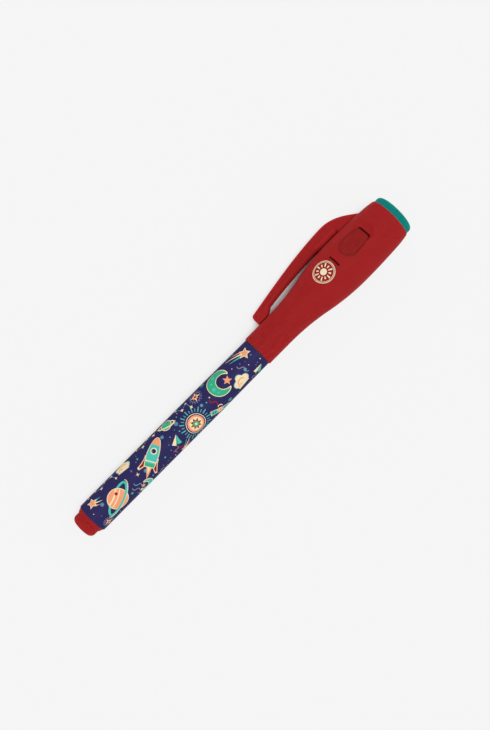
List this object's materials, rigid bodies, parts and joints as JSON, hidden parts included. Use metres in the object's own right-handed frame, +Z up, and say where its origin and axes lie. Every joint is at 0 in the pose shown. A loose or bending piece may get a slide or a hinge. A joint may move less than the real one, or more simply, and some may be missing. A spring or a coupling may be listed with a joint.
{
  "type": "invisible ink pen with light",
  "caption": "Capped fibre-tip pen for invisible ink; its cap carries a pocket clip, a thumb button and an ultraviolet lamp in the end, and pulls off the nib.",
  "frame": {"origin": "on the table under the middle of the closed pen's bounding box", "axes": "+X along the pen towards the lamp, +Y towards the clip's side, +Z up; the pen lies as it rests on a table, rolled onto its clip and pitched up a little towards the lamp"},
  "size_m": [0.1402, 0.0214, 0.0171],
  "materials": {
    "red_plastic": "moulded polypropylene, satin",
    "teal_plastic": "moulded polypropylene, satin",
    "white_plastic": "moulded polypropylene, natural white",
    "printed_film": "printed film, satin",
    "clear_film": "thin clear film",
    "soft_seal": "soft moulded polyethylene",
    "ink_fibre": "bundled polyester fibre",
    "nib_fibre": "sintered fibre",
    "lamp_epoxy": "clear cast epoxy",
    "cell_steel": "nickel-plated steel",
    "contact_metal": "nickel-plated strip",
    "lead_wire": "tinned wire",
    "screw_steel": "zinc-plated steel"
  },
  "bodies": {
    "pen": {"end_plug": "red_plastic", "barrel_tube": "white_plastic", "barrel_wrap": "printed_film", "nib_section": "teal_plastic", "nib": "nib_fibre", "ink_reservoir": "ink_fibre", "reservoir_jacket": "clear_film"},
    "cap": {"cap_shell": "red_plastic", "nib_seal_cup": "soft_seal", "module_carrier": "white_plastic", "cell_rear": "cell_steel", "cell_middle": "cell_steel", "cell_front": "cell_steel", "battery_spring": "contact_metal", "return_strip": "contact_metal", "cell_contact": "contact_metal", "uv_led": "lamp_epoxy", "led_anode_lead": "lead_wire", "led_cathode_lead": "lead_wire", "light_bezel": "teal_plastic", "head_screw": "screw_steel"},
    "button": {"switch_button": "red_plastic"},
    "leaf": {"switch_leaf": "contact_metal"}
  },
  "joints": [
    {"name": "cap_pull", "type": "slide", "parent": "pen", "child": "cap", "axis": [0.9996, 0, 0.0286], "range_m": [0, 0.045]},
    {"name": "button_press", "type": "hinge", "parent": "cap", "child": "button", "pos_m": [0.04405, 0.00104, 0.01412], "axis": [0.0141, 0.8709, -0.4913], "range_deg": [0, 4.3], "stiffness_Nm_per_rad": 0.1, "springref_deg": -1.15},
    {"name": "leaf_flex", "type": "hinge", "parent": "cap", "child": "leaf", "pos_m": [0.04801, -0.00066, 0.01123], "axis": [0.0141, 0.8709, -0.4913], "range_deg": [0, 7.25]}
  ],
  "couplings": [
    {"joint": "leaf_flex", "follows": "button_press", "ratio": 1.6754}
  ]
}
